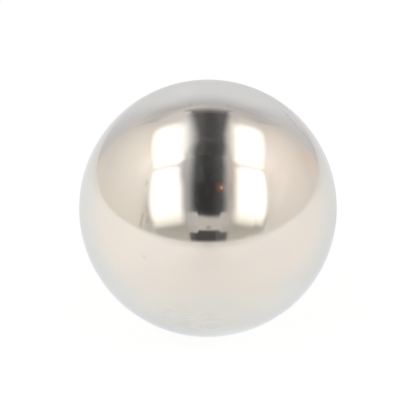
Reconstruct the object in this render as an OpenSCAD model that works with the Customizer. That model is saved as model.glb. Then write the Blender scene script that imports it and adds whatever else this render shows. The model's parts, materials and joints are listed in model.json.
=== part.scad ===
// Sphere magnet: a ball of sintered neodymium-iron-boron, ground round and then plated all over with nickel.
// It is one solid piece with no flat, hole or seam.
// It is magnetised along Z, so its two poles are its highest and its lowest point.
// Millimetres. The origin is the centre of the ball and +Z is up.

/* [Ball] */
// Diameter of the finished ball, measured over its plating
ball_d = 19; // [3:0.5:50]

/* [Finish] */
// Red, green and blue of the bright nickel plating
nickel_colour = [0.90, 0.86, 0.82]; // [0:0.01:1]

/* [Hidden] */

// Sides round the ball's equator in a preview
preview_sides = 180;

// The ball, turned about its magnetic axis
module magnet_ball() {
    color(nickel_colour)
        sphere(d = ball_d, $fn = preview_sides);
}

magnet_ball();
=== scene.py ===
"""A ball magnet with a bright nickel plate, lying in the light tent that its mirror shows."""
import json
import math
from functools import partial

import bmesh
import bpy
from bpy.props import FloatProperty, FloatVectorProperty, IntProperty, PointerProperty
from mathutils import Euler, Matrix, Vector


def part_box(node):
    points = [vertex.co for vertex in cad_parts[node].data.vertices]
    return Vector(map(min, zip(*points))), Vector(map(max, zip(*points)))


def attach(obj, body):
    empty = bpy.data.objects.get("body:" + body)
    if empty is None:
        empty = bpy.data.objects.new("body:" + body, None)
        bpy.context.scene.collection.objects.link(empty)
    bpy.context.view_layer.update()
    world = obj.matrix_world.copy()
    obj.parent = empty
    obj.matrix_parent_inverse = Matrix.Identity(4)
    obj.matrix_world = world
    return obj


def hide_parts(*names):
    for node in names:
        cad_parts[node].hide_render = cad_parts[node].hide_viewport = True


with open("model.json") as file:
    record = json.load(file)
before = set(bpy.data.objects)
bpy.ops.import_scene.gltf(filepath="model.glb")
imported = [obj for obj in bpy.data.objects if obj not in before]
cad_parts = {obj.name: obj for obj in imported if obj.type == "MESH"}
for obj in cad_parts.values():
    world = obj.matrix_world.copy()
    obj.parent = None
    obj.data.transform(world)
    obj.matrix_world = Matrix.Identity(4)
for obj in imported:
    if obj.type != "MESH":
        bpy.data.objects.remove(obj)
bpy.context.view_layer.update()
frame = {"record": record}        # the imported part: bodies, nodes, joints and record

bl_info = {
    "name": "Sphere Magnet",
    "version": (1, 0, 0),
    "blender": (4, 5, 0),
    "location": "View3D > Sidebar > Magnet",
    "description": "Builds a nickel-plated ball magnet and the light tent round it",
    "category": "Object",
}

MM = 0.001
BALL_NODE = "magnet_ball"
PLATING_SLOT = "nickel_plate"

ball_low, ball_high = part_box(BALL_NODE)
BALL_CENTRE = (ball_low + ball_high) / 2
BALL_RADIUS = min(ball_high - ball_low) / 2
PLATING_COLOUR = next(m["base_color"] for m in frame["record"]["materials"] if m["slot"] == PLATING_SLOT)

# Sockets of the Mix node when it mixes colours
MIX_FACTOR, MIX_A, MIX_B, MIX_RESULT = 0, 6, 7, 2

# The picture in pixels: its width, which is its height too, and the ball's width and middle in it
PICTURE = 416
BALL_ACROSS = 257.8
BALL_COLUMN, BALL_ROW = 207.93, 208.38


# ---------------------------------------------------------------- settings

class PlatingSettings(bpy.types.PropertyGroup):
    """The ball and its finish."""
    diameter: FloatProperty(
        name="Diameter", description="Diameter over the plating",
        default=2 * BALL_RADIUS, min=0.001, unit="LENGTH", precision=5)
    squares: IntProperty(
        name="Squares", description="Squares along each edge of the six grids that make up the ball",
        default=96, min=8, max=128)
    colour: FloatVectorProperty(
        name="Nickel", description="Colour of the bright nickel plate",
        default=PLATING_COLOUR, size=3, min=0, max=1, subtype="COLOR")
    edge_tint: FloatVectorProperty(
        name="Edge tint", description="How much of each colour the plate keeps where it is seen edge on",
        default=(0.885, 0.865, 0.89), size=3, min=0, max=1, subtype="COLOR")
    roughness: FloatProperty(
        name="Roughness", description="Roughness of the clean, polished plate",
        default=0.05, min=0, max=1, subtype="FACTOR")
    haze: FloatProperty(
        name="Haze", description="Roughness that handling has added in soft patches",
        default=0.05, min=0, max=1, subtype="FACTOR")
    ripple_width: FloatProperty(
        name="Ripple width", description="Distance between the faint waves left by grinding",
        default=2.6 * MM, min=0.0001, unit="LENGTH", precision=5)
    ripple_height: FloatProperty(
        name="Ripple height", description="Height of those waves",
        default=0.0009 * MM, min=0, unit="LENGTH", precision=7)


class TentSettings(bpy.types.PropertyGroup):
    """The light tent, measured from the centre of the ball."""
    half_width: FloatProperty(
        name="Half width", description="Distance from the middle of the tent to each side wall",
        default=190 * MM, min=0.05, unit="LENGTH")
    depth: FloatProperty(
        name="Depth behind", description="Distance from the ball to the back wall",
        default=190 * MM, min=0.05, unit="LENGTH")
    ridge_height: FloatProperty(
        name="Ridge height", description="Height of the fold between the front sheet and the roof",
        default=169 * MM, min=0.05, unit="LENGTH")
    ridge_ahead: FloatProperty(
        name="Ridge ahead", description="Distance of that fold in front of the ball",
        default=50 * MM, min=0, unit="LENGTH")
    roof_height: FloatProperty(
        name="Roof height", description="Height of the roof where it meets the back wall",
        default=257 * MM, min=0.05, unit="LENGTH")
    front_ahead: FloatProperty(
        name="Front ahead", description="Distance of the front sheet's foot in front of the ball",
        default=176 * MM, min=0.05, unit="LENGTH")
    yaw: FloatProperty(
        name="Yaw", description="Turn of the tent about the upright axis",
        default=0, subtype="ANGLE")
    offset: FloatProperty(
        name="Offset", description="How far the middle of the tent lies to the right of the ball",
        default=3.5 * MM, unit="LENGTH")
    pane_light: FloatProperty(
        name="Pane light", description="Brightness of the lit panes, where 1 is white",
        default=1.9, min=0)


class CameraSettings(bpy.types.PropertyGroup):
    """The camera."""
    elevation: FloatProperty(
        name="Elevation", description="Height of the camera above the horizon",
        default=math.radians(26.5), subtype="ANGLE")
    distance: FloatProperty(
        name="Distance", description="Distance from the ball's centre to the camera",
        default=285 * MM, min=0.05, unit="LENGTH")
    ball_share: FloatProperty(
        name="Ball share", description="Width of the ball as a share of the picture's width",
        default=BALL_ACROSS / PICTURE, min=0.05, max=1, subtype="FACTOR")


# ---------------------------------------------------------------- shader maths

class Value:
    """One output of a node. Arithmetic on it adds Math nodes to the same graph."""

    def __init__(self, graph, socket):
        self.graph = graph
        self.socket = socket

    def out(self, name):
        """Another output of the same node."""
        return Value(self.graph, self.socket.node.outputs[name])

    def math(self, operation, *operands):
        return self.graph.node("ShaderNodeMath", {"operation": operation}, dict(enumerate(operands)))

    def __add__(self, other):
        return self.math("ADD", self, other)

    def __radd__(self, other):
        return self.math("ADD", other, self)

    def __sub__(self, other):
        return self.math("SUBTRACT", self, other)

    def __rsub__(self, other):
        return self.math("SUBTRACT", other, self)

    def __mul__(self, other):
        return self.math("MULTIPLY", self, other)

    def __rmul__(self, other):
        return self.math("MULTIPLY", other, self)

    def __truediv__(self, other):
        return self.math("DIVIDE", self, other)

    def __rtruediv__(self, other):
        return self.math("DIVIDE", other, self)

    def __abs__(self):
        return self.math("ABSOLUTE", self)

    def over(self, other):
        """The larger of two values."""
        return self.math("MAXIMUM", self, other)

    def ramp(self, start, end):
        """0 up to start and 1 from end on, smooth between. With start above end it runs the other way."""
        sockets = {"Value": self, "From Min": start, "From Max": end}
        return self.graph.node("ShaderNodeMapRange", {"interpolation_type": "SMOOTHSTEP"}, sockets)

    def between(self, low, high):
        """low where this value is 0 and high where it is 1."""
        return low + self * (high - low)


class Graph:
    """Writes the nodes of one material or world."""

    def __init__(self, owner):
        owner.use_nodes = True
        self.tree = owner.node_tree
        self.tree.nodes.clear()

    def node(self, kind, settings=None, sockets=None, output=0):
        """Adds a node, sets it, then feeds its sockets with numbers, colours or other nodes' outputs."""
        node = self.tree.nodes.new(kind)
        for name, setting in (settings or {}).items():
            setattr(node, name, setting)
        for name, source in (sockets or {}).items():
            if isinstance(source, Value):
                self.tree.links.new(source.socket, node.inputs[name])
            else:
                node.inputs[name].default_value = source
        return Value(self, node.outputs[output]) if node.outputs else None

    def point(self):
        """Where a point is, in millimetres in its object's own axes."""
        metres = self.node("ShaderNodeTexCoord", output="Object")
        return self.node("ShaderNodeVectorMath", {"operation": "SCALE"}, {"Vector": metres, "Scale": 1 / MM})

    def parts(self, point):
        """The x, y and z of a point."""
        x = self.node("ShaderNodeSeparateXYZ", sockets={"Vector": point})
        return x, x.out("Y"), x.out("Z")

    def blend(self, factor, first, second):
        """A mix of two colours."""
        sockets = {MIX_FACTOR: factor, MIX_A: first, MIX_B: second}
        return self.node("ShaderNodeMix", {"data_type": "RGBA"}, sockets, MIX_RESULT)

    def scaled(self, tint, brightness):
        """A colour times a brightness."""
        vector = tint if isinstance(tint, Value) else tint[:3]
        sockets = {"Vector": vector, "Scale": brightness}
        return self.node("ShaderNodeVectorMath", {"operation": "SCALE"}, sockets)

    def away(self, point, place):
        """Distance of a point from a fixed place, in millimetres."""
        sockets = {0: point, 1: place}
        return self.node("ShaderNodeVectorMath", {"operation": "DISTANCE"}, sockets, "Value")

    def noise(self, point, width, detail=0.0, stretch=(1, 1, 1), turn=(0, 0, 0)):
        """Soft noise from 0 to 1 whose blotches are about as wide as width, in millimetres."""
        scale = [1 / (width * s) for s in stretch]
        moved = self.node("ShaderNodeMapping", sockets={"Vector": point, "Rotation": turn, "Scale": scale})
        return self.node("ShaderNodeTexNoise", sockets={"Vector": moved, "Scale": 1.0, "Detail": detail})

    def surface(self, shader):
        """Gives the material its surface."""
        self.node("ShaderNodeOutputMaterial", sockets={"Surface": shader})


def colour(red, green, blue):
    """An opaque colour."""
    return (red, green, blue, 1.0)


# ---------------------------------------------------------------- mesh helpers

def new_object(name, mesh_data, material):
    """Links a mesh into the scene with its material."""
    piece = bpy.data.objects.new(name, mesh_data)
    bpy.context.scene.collection.objects.link(piece)
    mesh_data.materials.append(material)
    return piece


def ball_mesh(name, centre, radius, squares):
    """A ball of six bent grids, whose squares are nearly even and whose points all lie on the sphere."""
    form = bmesh.new()
    bmesh.ops.create_cube(form, size=2)
    bmesh.ops.subdivide_edges(form, edges=form.edges[:], cuts=squares - 1, use_grid_fill=True)
    for vertex in form.verts:
        spread = Vector([math.tan(share * math.pi / 4) for share in vertex.co])
        vertex.co = centre + radius * spread.normalized()
    for face in form.faces:
        face.smooth = True
    bmesh.ops.recalc_face_normals(form, faces=form.faces[:])
    mesh_data = bpy.data.meshes.new(name)
    form.to_mesh(mesh_data)
    form.free()
    return mesh_data


def sheet_mesh(name, outline):
    """One flat face inside an outline."""
    form = bmesh.new()
    form.faces.new([form.verts.new(point) for point in outline])
    mesh_data = bpy.data.meshes.new(name)
    form.to_mesh(mesh_data)
    form.free()
    return mesh_data


# ---------------------------------------------------------------- the plating

# Each pinhole: its place from the ball's centre and its radius, in millimetres, and how dark it is
PINHOLES = (
    ((-4.58, -8.32, 0.27), 0.14, 0.06),
    ((-4.47, -8.38, 0.12), 0.08, 0.03),
    ((-0.55, -7.32, -6.02), 0.12, 0.10),
)
# The middle of the scuffed patch, from the ball's centre
SCUFF_PLACE = (-1.3, -6.7, -6.6)


def wear_marks(graph, point):
    """How much each point is marked by the pinholes, and by the scuffed patch near the bottom."""
    pinholes = 0.0
    for place, radius, darkness in PINHOLES:
        pinholes = pinholes + darkness * graph.away(point, place).ramp(1.6 * radius, 0.5 * radius)
    patch = graph.away(point, SCUFF_PLACE).ramp(4.6, 1.5)
    streaks = graph.noise(point, 0.16, detail=2.0, stretch=(7, 1, 1)).ramp(0.5, 0.75)
    stains = graph.noise(point, 0.55, detail=2.0, stretch=(2, 1, 1)).ramp(0.45, 0.7)
    return pinholes, patch * (0.6 * streaks + 0.4 * stains)


def nickel_material(settings):
    """Bright nickel: polished, with faint waves, soft handling haze, a scuffed patch and a few pinholes."""
    material = bpy.data.materials.new("bright_nickel_plate")
    graph = Graph(material)
    point = graph.point()

    haze = graph.noise(point, 3.5, detail=3.0).ramp(0.45, 0.75)
    tarnish = graph.noise(point, 5.0, detail=2.0)
    warmth = graph.noise(point, 2.4, detail=1.0).ramp(0.35, 0.65)
    pinholes, scuffs = wear_marks(graph, point)

    nickel = Vector(settings.colour)
    cooler = colour(*(nickel * Vector((0.992, 1.0, 1.008))))
    warmer = colour(*(nickel * Vector((1.008, 1.0, 0.986))))
    worn = tarnish.between(0.985, 1.01) - pinholes - 0.12 * scuffs
    tone = graph.scaled(graph.blend(warmth, cooler, warmer), worn)
    roughness = settings.roughness + settings.haze * haze + 0.05 * scuffs + pinholes

    micron = 0.001 * MM
    waves = graph.noise(point, settings.ripple_width / MM, detail=1.0)
    grain = graph.noise(point, 0.35, detail=2.0)
    height = (settings.ripple_height / micron) * waves + 0.03 * grain - 0.1 * scuffs
    bump = graph.node("ShaderNodeBump", sockets={"Height": height, "Distance": micron})

    shader = graph.node("ShaderNodeBsdfPrincipled", sockets={
        "Base Color": tone, "Metallic": 1.0, "Specular Tint": colour(*settings.edge_tint),
        "Roughness": roughness, "Normal": bump})
    graph.surface(shader)
    return material


def build_ball(settings):
    """The one piece: a plated ball that stands for the CAD ball."""
    mesh_data = ball_mesh("plated_ball", BALL_CENTRE, settings.diameter / 2, settings.squares)
    ball = new_object("plated_ball", mesh_data, nickel_material(settings))
    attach(ball, "root")
    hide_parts(BALL_NODE)
    return ball


# ---------------------------------------------------------------- how the tent's sheets shine

# Lengths in this section are in millimetres along each sheet's own axes: x to the right, y to the back, and z
# up from the height of the ball's centre. A brightness of 1 is white.

# Tints of the cloth, the paper, the room behind the slit, the board of the floor and the small lamp
NEUTRAL = colour(1.0, 1.0, 0.985)
BACK_GREY = colour(0.985, 1.0, 1.06)
PAPER_WHITE = colour(0.93, 1.0, 1.056)
PAPER_TOP = colour(0.932, 1.0, 1.092)
WARM_LEFT = colour(1.014, 1.0, 0.966)
WARM_RIGHT = colour(1.03, 1.0, 0.971)
ORANGE_PATCH = colour(1.06, 0.965, 0.905)
COOL_CLOTH = colour(0.988, 1.0, 1.035)
WARM_HEM = colour(1.035, 1.0, 0.985)
FOOT_CLOTH = colour(1.0, 1.0, 0.945)
DARK_ROOM = colour(0.93, 1.0, 1.07)
FLOOR_AHEAD = colour(0.96, 1.0, 1.03)
FLOOR_FRONT = colour(1.003, 1.0, 1.011)
FLOOR_BEHIND = colour(0.925, 1.0, 1.03)
FLOOR_UNDER = colour(0.908, 1.0, 1.06)
FLOOR_FAR = colour(0.93, 1.0, 1.01)
FLOOR_SHADED = colour(0.965, 1.0, 0.985)
LAMP_CORE = colour(1.0, 0.6, 0.32)
LAMP_HALO = colour(1.0, 0.2, 0.0)

# How far from the middle of the tent the panes begin and end, and where the middle of the bar is
PANE_INNER = 60
PANE_OUTER = 172
BAR_MIDDLE = -1.2

# Painted shade along each fold of a side wall: how much it darkens the cloth, its middle along and up the
# wall, half its length, half its width, and its slope in degrees. A fold below 0 is a painted highlight where
# it catches the light.
LEFT_FOLD_SHADES = (
    (0.27, (-71, 122), 14, 6, 60),
    (0.25, (-109.5, 17), 28, 7, 90),
    (0.17, (-135, 26), 12, 8, 90),
    (-0.09, (-122, 24), 26, 7, 90),
    (0.08, (-105, 74), 36, 10, 58),
    (0.05, (-95, 80), 80, 30, 58),
    (-0.05, (-15, 165), 60, 40, 90),
)
RIGHT_FOLD_SHADES = (
    (-0.045, (-46, 72), 70, 26, 27),
    (0.05, (-62, 124), 42, 20, 41),
)


def distance(across, along):
    """Distance from the origin of a plane, from the two coordinates."""
    squares = across * across + along * along
    return squares.math("SQRT", squares)


def stroke(across, up, centre, half_length, half_width, degrees):
    """A soft straight mark in a plane: 1 in its middle and 0 beyond its ends and sides."""
    angle = math.radians(degrees)
    across, up = across - centre[0], up - centre[1]
    lengthwise = across * math.cos(angle) + up * math.sin(angle)
    sideways = up * math.cos(angle) - across * math.sin(angle)
    return abs(lengthwise).ramp(half_length, 0.5 * half_length) * abs(sideways).ramp(half_width, 0)


def rightward(x):
    """0 left of the slit and 1 right of it."""
    return x.ramp(-30, 30)


def cool_hem(x):
    """The stretch of the left hem whose cloth looks cooler."""
    return x.ramp(-86, -74) * x.ramp(-20, -34)


def front_slit(graph, point, x, z):
    """How open the front sheet's slit is, and how bright the dim room behind it is."""
    left_edge = -51
    right_edge = 46.6 - 1.2 * z.ramp(72, 96) + 2.4 * z.ramp(112, 140)
    slit = (x - left_edge).ramp(0, 24) * (right_edge - x).ramp(0, 23)
    room = 0.048 + 0.062 * abs(x + 3).ramp(4, 34) + 0.017 * z.ramp(100, 155)
    unevenness = graph.noise(point, 11, detail=2.0).between(0.8, 1.2)
    room = room * unevenness + 0.02 * stroke(x, z, (-17, 125), 22, 9, 100)
    room = room - 0.022 * x.ramp(-6, -24) * z.ramp(112, 98)
    return slit, room


def front_cloth(graph, point, x, z):
    """How bright the unlit cloth is: the hems beside the slit, and the foot of the sheet below its panes."""
    aside = abs(x)
    near_ridge = z.ramp(95, 165)
    left_hem = near_ridge.between(0.496, 0.573)
    right_hem = near_ridge.between(0.568, 0.597)
    hem = rightward(x).between(left_hem, right_hem) + 0.057 * aside.ramp(46, 62) * z.ramp(60, 75)
    hem = hem + 0.13 * (1 - rightward(x)) * z.ramp(157, 172)

    foot = 0.551 - 0.078 * z.ramp(0, 30)
    below_panes = z.ramp(50, 30) * aside.ramp(48, 60)
    cloth = below_panes.between(hem, foot)
    cloth = cloth + aside.ramp(150, 190) * z.ramp(20, 70).between(0.11, 0.35)
    cloth = cloth * graph.noise(point, 5, detail=1.0, stretch=(1, 12, 12)).between(0.95, 1.05)
    return cloth * (1 - 0.12 * stroke(x, z, (45, 93), 20, 9, 90))


def front_panes(x, z):
    """How strongly the front sheet's two panes are lit, with the darker seam that crosses them."""
    aside = abs(x)
    left_hem = z.ramp(95, 135).between(61, 69) - 5 * z.ramp(152, 165) - 4.8 * z.ramp(68, 47)
    right_hem = z.ramp(95, 135).between(60, 63.5) - 4.4 * z.ramp(68, 47)
    left_pane = (-1 * x - left_hem).ramp(-12, 16) * (PANE_OUTER + x).ramp(-24, 24)
    right_pane = (x - right_hem).ramp(-14, 18) * (PANE_OUTER - 1 - x).ramp(-20, 20)
    panes = left_pane + right_pane
    foot = 35.7 - 0.197 * (aside - PANE_INNER) + 4 * x.ramp(119, 130)
    above_foot = z - foot
    panes = panes * (0.46 * above_foot.ramp(-10, 8) + 0.54 * above_foot.ramp(3, 36))

    seam_height = 147.7 + 0.127 * (aside - PANE_INNER)
    seam_half_width = aside.ramp(110, 65).between(11, 15)
    seam = abs(z - seam_height).ramp(seam_half_width, 0)
    return panes * (1 - seam * aside.ramp(125, 60).between(0.52, 0.59))


def front_bar(x, z):
    """The bar across the slit: the height above its top, and where the sheet shows the slit above it, the
    bar itself and the gap below it."""
    from_middle = abs(x - BAR_MIDDLE)
    near_end = from_middle.ramp(21, 27)
    sag = 2 * x.ramp(-20, 2) * x.ramp(34, 16)
    top = near_end.between(48, 55) - sag
    foot = from_middle.ramp(22, 28).between(21, 15 + 1.4 * rightward(x))
    blur = near_end.between(6.2, 4)
    above_top = z - top
    above_bar = above_top.ramp(-1 * blur, blur)

    gap_left, gap_right = -47.4, 43.3
    gap = (x - gap_left).ramp(-4, 4) * (gap_right - x).ramp(-4, 4) * (z - foot).ramp(3.4, -3.4)
    bar = (1 - above_bar) * (1 - gap) * from_middle.ramp(50, 46)
    return above_top, above_bar, bar, gap


def bar_left_end(x, z):
    """The lower left end of the bar."""
    return x.ramp(-20, -34) * z.ramp(36, 26)


def bar_brightness(x, z):
    """How bright the bar is: duller towards its ends, and marked in its middle."""
    right_shade = 0.05 * x.ramp(22, 32) * z.ramp(36, 26)
    middle_light = 0.035 * abs(x - BAR_MIDDLE).ramp(42, 24)
    middle_mark = 0.23 * stroke(x, z, (-2.2, 27), 7, 6, 0)
    return 0.59 - 0.04 * bar_left_end(x, z) - right_shade + middle_light - middle_mark


def front_tint(graph, x, z):
    """The tint of the front sheet's cloth: cooler and warmer stretches of hem, and a yellower foot."""
    warm_hem = x.ramp(34, 46) * x.ramp(84, 70)
    hem_tint = graph.blend(warm_hem, graph.blend(cool_hem(x), NEUTRAL, COOL_CLOTH), WARM_HEM)
    at_foot = (z.ramp(60, 42) * abs(x).ramp(52, 66)).over(bar_left_end(x, z))
    return graph.blend(at_foot, hem_tint, FOOT_CLOTH)


def front_light(graph, pane_light):
    """The front sheet: two lit panes, an open slit between them, and a cloth bar across the slit's foot
    with a dark gap below. The board of the floor stands up a little at the sheet's foot."""
    point = graph.point()
    x, _, z = graph.parts(point)
    slit, room = front_slit(graph, point, x, z)
    above_top, above_bar, bar, gap = front_bar(x, z)
    bar_glow = above_top.ramp(15, 0) * x.ramp(-4, -20).between(0.022, 0.055)
    room = room + bar_glow
    gap_shade = 0.088 + 0.07 * x.ramp(-27, -45) + 0.055 * x.ramp(13, 17)
    # Painted shade along a crease in the cloth just right of the gap
    right_crease_shade = 1 - 0.13 * stroke(x, z, (49, 20), 33, 7, 90)

    opening = slit * above_bar
    cloth = front_panes(x, z).between(front_cloth(graph, point, x, z), pane_light)
    barred = bar.between(opening.between(cloth, room), bar_brightness(x, z))
    brightness = gap.between(barred, gap_shade) * right_crease_shade
    tint = graph.blend(opening.over(gap), front_tint(graph, x, z), DARK_ROOM)
    sheet = graph.scaled(tint, brightness)

    board = graph.scaled(graph.blend(abs(x).ramp(75, 50), FLOOR_FRONT, FLOOR_AHEAD), 0.76)
    below_board_edge = (z - 4 * x.ramp(90, 115)).ramp(-0.6, -13.6)
    return graph.blend(below_board_edge, sheet, board)


def roof_slit(graph, point, x, y, past_fold):
    """How open the roof's slit is, and how bright the dim room behind it is."""
    narrowing = y.ramp(-48, -2)
    at_end = y.ramp(134, 152)
    widening = 0.144 * (y - 21).over(0.0)
    left_edge = narrowing.between(52.6, 41.2) + widening
    right_edge = narrowing.between(50, 43.9) + widening
    left_blur = past_fold.between(1, 16) - 13 * at_end
    right_blur = past_fold.between(1, 11) - 6 * at_end
    slit = (x + left_edge).ramp(-1 * left_blur, past_fold.between(24, 23) - 8 * at_end)
    slit = slit * (right_edge - x).ramp(-1 * right_blur, past_fold.between(22, 16) - 2 * at_end)

    flatter = y.ramp(112, 142)
    room = 0.073 + flatter.between(0.06, 0.03) * abs(x - 3.4).ramp(4, 34) + 0.017 * y.ramp(-45, 20)
    unevenness = graph.noise(point, 13, detail=2.0).between(0.82, 1.18)
    room = room * unevenness + 0.012 * flatter + 0.1 * y.ramp(122, 150)
    return slit, room + 0.022 * stroke(x, y, (-10, -4), 34, 16, 0)


def roof_light(graph, pane_light):
    """The roof: the slit runs on to the back, and the lit panes end half way."""
    point = graph.point()
    x, y, _ = graph.parts(point)
    aside = abs(x)
    past_fold = y.ramp(-50, -15)
    slit, room = roof_slit(graph, point, x, y, past_fold)

    left_hem = past_fold.between(0.71, 0.97)
    right_hem = past_fold.between(0.62, 0.84)
    hem = rightward(x).between(left_hem, right_hem) - 0.19 * y.ramp(60, 140)
    pane_end = 64.7 + 0.43 * (aside - PANE_INNER)
    beyond = y - pane_end
    glow = beyond.ramp(163, 0) * aside.ramp(50, 90)
    cloth = hem.over(glow.between(0.336, 0.884))

    into_left_pane = -1 * x - past_fold.between(64, 65)
    left_pane = into_left_pane.ramp(-1 * past_fold.between(12, 26), past_fold.between(16, 30))
    right_pane = (x - past_fold.between(63.5, 64.5)).ramp(-17, 21)
    panes = (left_pane + right_pane) * beyond.ramp(31, -31) * (PANE_OUTER - aside).ramp(-40, 40)

    rear = y.ramp(aside.ramp(35, 60).between(148, 160), 177) * aside.ramp(90, 60)
    brightness = rear.between(slit.between(panes.between(cloth, pane_light), room), 0.46)
    cloth_tint = graph.blend(cool_hem(x).over(y.ramp(100, 150)), NEUTRAL, COOL_CLOTH)
    return graph.scaled(graph.blend(slit * (1 - rear), cloth_tint, DARK_ROOM), brightness)


def floor_level(x, y):
    """How bright the white board of the floor looks in a mirror."""
    from_ball = distance(x, y)
    slit_shade = 0.089 * abs(x).ramp(21, 0) * y.ramp(15, -40)
    front_shade = 0.122 * y.ramp(-50, -120) + 0.09 * y.ramp(-110, -172) * (x - 20).ramp(70, -30)
    front_shade = front_shade + 0.055 * abs(x).ramp(70, 30) * y.ramp(-55, -115)
    back_shade = 0.066 * y.ramp(30, 85) + 0.117 * y.ramp(85, 185)

    # The board is faintly shaded round the ball, and brighter again where the ball shines down on it
    inner_shine = from_ball.ramp(7.5, 3) * x.ramp(-4, 3).between(0.02, 0.14)
    outer_shine = abs(x).ramp(3, 8) * from_ball.ramp(14, 9) * x.ramp(-5, 5).between(0.025, 0.045)
    contact_shade = 0.02 * from_ball.ramp(22, 6) - inner_shine - outer_shine
    return 0.984 - slit_shade - front_shade - back_shade - contact_shade + 0.041 * x.ramp(20, -40)


def wall_light(graph, tint, level, gain, front_shade, board_edge, fold_shades, patch=None):
    """A side wall: brightest under the fold of the roof and duller towards the front and the back, with
    painted shade and painted highlights along each fold of its cloth and, on one wall, a patch of another
    tint. The floor's board turns up at its foot."""
    x, y, z = graph.parts(graph.point())
    glow_y, glow_z, glow_reach = -21, 178, 192
    glow = (1 - distance(y - glow_y, z - glow_z) / glow_reach).over(0.0)
    brightness = (level + gain * glow) * (1 - front_shade * y.ramp(-80, -150)) - 0.04 * y.ramp(120, 190)
    brightness = brightness + 0.028 * z.ramp(60, 0)
    # Painted shade in each fold of the cloth, and a painted highlight where a fold catches the light
    painted_fold_shade = 1.0
    for darkness, *mark in fold_shades:
        painted_fold_shade = painted_fold_shade - darkness * stroke(y, z, *mark)
    if patch:
        near_corner = stroke(y, z, (125, 45), 60, 45, -40)
        tint = graph.blend(near_corner, tint, patch)
    wall = graph.scaled(tint, brightness * painted_fold_shade)
    board = graph.scaled(FLOOR_FRONT, floor_level(x, y))
    return graph.blend(z.ramp(board_edge + 4, board_edge - 4), wall, board)


def left_light(graph):
    """The left wall, with painted shade in the creases where it meets the front sheet."""
    return wall_light(graph, WARM_LEFT, level=0.822, gain=0.31, front_shade=0.26, board_edge=-6.7,
                      fold_shades=LEFT_FOLD_SHADES)


def right_light(graph):
    """The right wall, with the painted shade and painted highlight of two soft fold lines, and a warm patch
    near the back.
    """
    return wall_light(graph, WARM_RIGHT, level=0.792, gain=0.335, front_shade=0.02, board_edge=-4.5,
                      fold_shades=RIGHT_FOLD_SHADES, patch=ORANGE_PATCH)


def back_painted_shade(graph, point, x, z):
    """How much light the back keeps under painted shade: a soft dark arch, strokes below the slit's ends and
    a dashed painted shadow round the right foot.
    """
    arch_middle, arch_foot, arch_half_width, arch_rise = 8.5, 110, 158, 115
    across, up = (x - arch_middle) / arch_half_width, (z - arch_foot) / arch_rise
    # The arch is painted shade, a soft dark line round the paper
    seam = abs(distance(across, up) - 1.02).ramp(0.08, 0) * z.ramp(110, 140) * abs(x).ramp(50, 75)
    # Painted shade below the two ends of the roof's slit
    slit_ends = 0.1 * stroke(x, z, (-50, 205), 26, 5, 96) + 0.1 * stroke(x, z, (50, 209), 26, 6, 84)
    # Painted shadow, dashed, along the right foot where the floor and the paper meet the wall
    foot = stroke(x, z, (93, 24), 26, 8, 5) + stroke(x, z, (118, 11), 20, 7, -60)
    foot = (foot + stroke(x, z, (137, -4), 16, 6, 0)) * graph.noise(point, 4, detail=3.0).ramp(0.42, 0.62)
    return 1 - 0.12 * seam - slit_ends - 0.36 * foot


def back_light(graph):
    """The back wall above and beside the paper."""
    point = graph.point()
    x, _, z = graph.parts(point)
    left_cloth = z.ramp(205, 245) * x.ramp(10, -40)
    brightness = z.ramp(120, 220).between(0.734, 0.615) + 0.075 * left_cloth
    tint = graph.blend(left_cloth, BACK_GREY, COOL_CLOTH)
    return graph.scaled(tint, brightness * back_painted_shade(graph, point, x, z))


def paper_light(graph):
    """The paper that hangs on the back wall: cool white, duller at its top and edges."""
    point = graph.point()
    x, _, z = graph.parts(point)
    brightness = 0.914 - 0.041 * z.ramp(70, 130) - 0.218 * z.ramp(110, 200) - 0.148 * abs(x).ramp(60, 130)
    brightness = brightness + 0.036 * stroke(x, z, (-31, 68), 60, 26, 95)
    tint = graph.blend(z.ramp(55, 125), PAPER_WHITE, PAPER_TOP)
    return graph.scaled(tint, brightness * back_painted_shade(graph, point, x, z))


# ---------------------------------------------------------------- the stage

# The share of the floor's board that shines by itself, and the brightness that the lamps add to it
FLOOR_SHINE = 0.72
FLOOR_FROM_LAMPS = 0.131


def reflected_only(sheet):
    """Only the ball's mirror sees the sheet. The camera and the lamps look through it."""
    sheet.visible_camera = False
    sheet.visible_diffuse = False
    sheet.visible_shadow = False
    return sheet


def add_tent_sheet(name, outline, light, tent):
    """One sheet of the tent, shining with its own light."""
    material = bpy.data.materials.new(name)
    graph = Graph(material)
    graph.surface(graph.node("ShaderNodeEmission", sockets={"Color": light(graph), "Strength": 1.0}))
    sheet = reflected_only(new_object(name, sheet_mesh(name, outline), material))
    sheet.rotation_euler = Euler((0, 0, tent.yaw))
    sheet.location.x = tent.offset


def paper_outline(wall_y, floor_z):
    """The edge of the paper, which hangs just in front of the back wall from an arched top to the floor."""
    half, shoulder, top, gap, steps = 133 * MM, 125 * MM, 196 * MM, 4 * MM, 24
    y, rise = wall_y - gap, top - shoulder
    turns = [math.pi * step / steps for step in range(steps + 1)]
    arch = [Vector((half * math.cos(turn), y, shoulder + rise * math.sin(turn))) for turn in turns]
    return arch + [Vector((-half, y, floor_z)), Vector((half, y, floor_z))]


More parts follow.
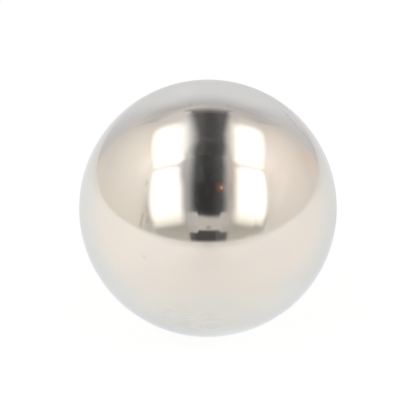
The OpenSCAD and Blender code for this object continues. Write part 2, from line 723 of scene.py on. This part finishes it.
def build_tent(tent):
    """The sheets of the tent above its floor: front, roof, two side walls, back wall and paper."""
    wide, back, floor_z = tent.half_width, tent.depth, ball_low.z
    foot = (-tent.front_ahead, floor_z)
    ridge = (-tent.ridge_ahead, tent.ridge_height)
    eaves = (back, tent.roof_height)
    heel = (back, floor_z)

    def crossing(low, high):
        """A sheet from side to side between two places of the tent's profile."""
        return [Vector((side * wide, *place)) for place, side in ((low, -1), (low, 1), (high, 1), (high, -1))]

    def wall(side):
        """A sheet that fills the tent's profile on one side."""
        return [Vector((side * wide, *place)) for place in (foot, ridge, eaves, heel)]

    for name, outline, light in (
            ("tent_front", crossing(foot, ridge), partial(front_light, pane_light=tent.pane_light)),
            ("tent_roof", crossing(ridge, eaves), partial(roof_light, pane_light=tent.pane_light)),
            ("tent_left", wall(-1), left_light),
            ("tent_right", wall(1), right_light),
            ("tent_back", crossing(heel, eaves), back_light),
            ("paper", paper_outline(back, floor_z), paper_light)):
        add_tent_sheet(name, outline, light, tent)


def face_ball(lamp, place):
    """Puts a lamp at a place in millimetres from the ball's centre, turned to shine at the ball."""
    lamp.location = Vector(place) * MM
    lamp.rotation_euler = lamp.location.to_track_quat("Z", "Y").to_euler()


def build_lamp_point():
    """A small warm lamp that shines in through the slit."""
    material = bpy.data.materials.new("lamp_point")
    graph = Graph(material)
    sockets = {"Vector": graph.point()}
    from_middle = graph.node("ShaderNodeVectorMath", {"operation": "LENGTH"}, sockets, "Value")
    core_radius, halo_radius = 3.9, 14.5
    core = from_middle.ramp(core_radius, 0)
    glow = 0.14 * from_middle.ramp(halo_radius, 2) + 0.8 * core
    tint = graph.blend(core.ramp(0, 0.4), LAMP_HALO, LAMP_CORE)
    light = graph.node("ShaderNodeEmission", sockets={"Color": graph.scaled(tint, glow), "Strength": 1.0})
    clear = graph.node("ShaderNodeBsdfTransparent")
    graph.surface(graph.node("ShaderNodeAddShader", sockets={0: light, 1: clear}))

    radius, corners = 15 * MM, 24
    turns = [math.tau * corner / corners for corner in range(corners)]
    rim = [Vector((radius * math.cos(turn), radius * math.sin(turn), 0)) for turn in turns]
    lamp = reflected_only(new_object("lamp_point", sheet_mesh("lamp_point", rim), material))
    face_ball(lamp, (25.7, -92.2, 90.3))


def floor_light(graph, x, y):
    """The board of the floor as mirrors see it, with what the lamps add to its brightness taken off."""
    behind = (y - 0.6 * abs(x)).ramp(-22, -6)
    shaded = abs(x).ramp(20, 13) * y.ramp(10, 18) * y.ramp(100, 72) * x.ramp(-16, -6).between(0.45, 1)
    level = (floor_level(x, y) - 0.14 * shaded - FLOOR_FROM_LAMPS) / FLOOR_SHINE
    from_ball = distance(x, y)
    near_tint = graph.blend(from_ball.ramp(14, 34), FLOOR_UNDER, FLOOR_BEHIND)
    far_tint = graph.blend(from_ball.ramp(25, 80), near_tint, FLOOR_FAR)
    behind_tint = graph.blend(shaded, far_tint, FLOOR_SHADED)
    return graph.scaled(graph.blend(behind, FLOOR_FRONT, behind_tint), level)


def floor_material():
    """White board. The camera and mirrors see it lit, with the ball's shadow still on it."""
    material = bpy.data.materials.new("white_board")
    graph = Graph(material)
    x, y, _ = graph.parts(graph.point())
    seen = graph.node("ShaderNodeLightPath")
    mirrored = seen.out("Is Glossy Ray")

    bright_white = colour(1.18, 1.18, 1.18)
    white = graph.blend(mirrored, bright_white, floor_light(graph, x, y))
    board = graph.node("ShaderNodeBsdfDiffuse", sockets={"Color": colour(0.85, 0.85, 0.85)})
    shine = graph.node("ShaderNodeEmission", sockets={"Color": white, "Strength": 1.0})
    shown = FLOOR_SHINE * seen.out("Is Camera Ray").over(mirrored).over(seen.out("Is Transmission Ray"))
    graph.surface(graph.node("ShaderNodeMixShader", sockets={0: shown, 1: board, 2: shine}))
    return material


def build_floor():
    """A wide white board that the ball touches at one point."""
    half, level = 1500 * MM, ball_low.z
    corners = ((-1, -1), (1, -1), (1, 1), (-1, 1))
    outline = [Vector((right * half, back * half, level)) for right, back in corners]
    floor = new_object("white_floor", sheet_mesh("white_floor", outline), floor_material())


def build_world():
    """White for the camera, mirrors and glass, and soft sky light at a plain level for the rest."""
    world = bpy.data.worlds.new("white_surround")
    bpy.context.scene.world = world
    graph = Graph(world)
    seen = graph.node("ShaderNodeLightPath")
    direct = seen.out("Is Camera Ray").over(seen.out("Is Glossy Ray")).over(seen.out("Is Transmission Ray"))
    sky_light, plain_white = colour(0.55, 0.55, 0.55), colour(1.0, 1.0, 1.0)
    light = graph.blend(direct, sky_light, plain_white)
    sky = graph.node("ShaderNodeBackground", sockets={"Color": light, "Strength": 1.0})
    graph.node("ShaderNodeOutputWorld", sockets={"Surface": sky})


def build_softboxes():
    """Two soft lamps just inside the lit panes, left and right of the slit."""
    wide, high, watts = 80 * MM, 90 * MM, 0.05
    aside, ahead, up = 118, 88, 96
    for name, side in (("softbox_left", -1), ("softbox_right", 1)):
        lamp_data = bpy.data.lights.new(name, "AREA")
        lamp_data.shape = "RECTANGLE"
        lamp_data.size, lamp_data.size_y = wide, high
        lamp_data.energy = watts
        lamp = bpy.data.objects.new(name, lamp_data)
        bpy.context.scene.collection.objects.link(lamp)
        lamp.visible_glossy = False
        face_ball(lamp, (side * aside, -ahead, up))


def build_camera(settings):
    """The camera looks down at the ball from the front, framed so that the ball fills its share."""
    data = bpy.data.cameras.new("camera")
    camera = bpy.data.objects.new("camera", data)
    bpy.context.scene.collection.objects.link(camera)
    back = Vector((0, -math.cos(settings.elevation), math.sin(settings.elevation)))
    camera.location = BALL_CENTRE + back * settings.distance
    camera.rotation_euler = back.to_track_quat("Z", "Y").to_euler()
    half_angle = math.asin(BALL_RADIUS / settings.distance)
    data.sensor_width = 36.0
    data.lens = data.sensor_width * settings.ball_share / 2 / math.tan(half_angle)
    data.shift_x = (PICTURE / 2 - BALL_COLUMN) / PICTURE
    data.shift_y = (BALL_ROW - PICTURE / 2) / PICTURE
    data.clip_start, data.clip_end = 0.01, 10
    bpy.context.scene.camera = camera
    bpy.context.scene.view_settings.view_transform = "Standard"


# ---------------------------------------------------------------- operators and panel

class MAGNET_OT_build_ball(bpy.types.Operator):
    """Build the plated ball"""
    bl_idname = "magnet.build_ball"
    bl_label = "Plated Ball"

    def execute(self, context):
        build_ball(context.scene.magnet_plating)
        return {"FINISHED"}


class MAGNET_OT_build_stage(bpy.types.Operator):
    """Build the floor, the light tent, the lamps and the camera"""
    bl_idname = "magnet.build_stage"
    bl_label = "Light Tent and Camera"

    def execute(self, context):
        build_floor()
        build_tent(context.scene.magnet_tent)
        build_lamp_point()
        build_softboxes()
        build_world()
        build_camera(context.scene.magnet_camera)
        return {"FINISHED"}


class MAGNET_PT_panel(bpy.types.Panel):
    """The magnet's settings and the buttons that build it"""
    bl_idname = "MAGNET_PT_panel"
    bl_label = "Sphere Magnet"
    bl_space_type = "VIEW_3D"
    bl_region_type = "UI"
    bl_category = "Magnet"

    def draw(self, context):
        layout = self.layout
        for group_name, operator in (("magnet_plating", MAGNET_OT_build_ball),
                                     ("magnet_tent", MAGNET_OT_build_stage),
                                     ("magnet_camera", None)):
            box = layout.box()
            settings = getattr(context.scene, group_name)
            for name in settings.__annotations__:
                box.prop(settings, name)
            if operator:
                box.operator(operator.bl_idname)


GROUPS = {"magnet_plating": PlatingSettings, "magnet_tent": TentSettings, "magnet_camera": CameraSettings}
CLASSES = (*GROUPS.values(), MAGNET_OT_build_ball, MAGNET_OT_build_stage, MAGNET_PT_panel)


def register():
    for cls in CLASSES:
        bpy.utils.register_class(cls)
    for name, group in GROUPS.items():
        setattr(bpy.types.Scene, name, PointerProperty(type=group))


def unregister():
    for name in GROUPS:
        delattr(bpy.types.Scene, name)
    for cls in reversed(CLASSES):
        bpy.utils.unregister_class(cls)


def main():
    register()
    bpy.ops.magnet.build_ball()
    bpy.ops.magnet.build_stage()


if __name__ == "__main__":
    main()
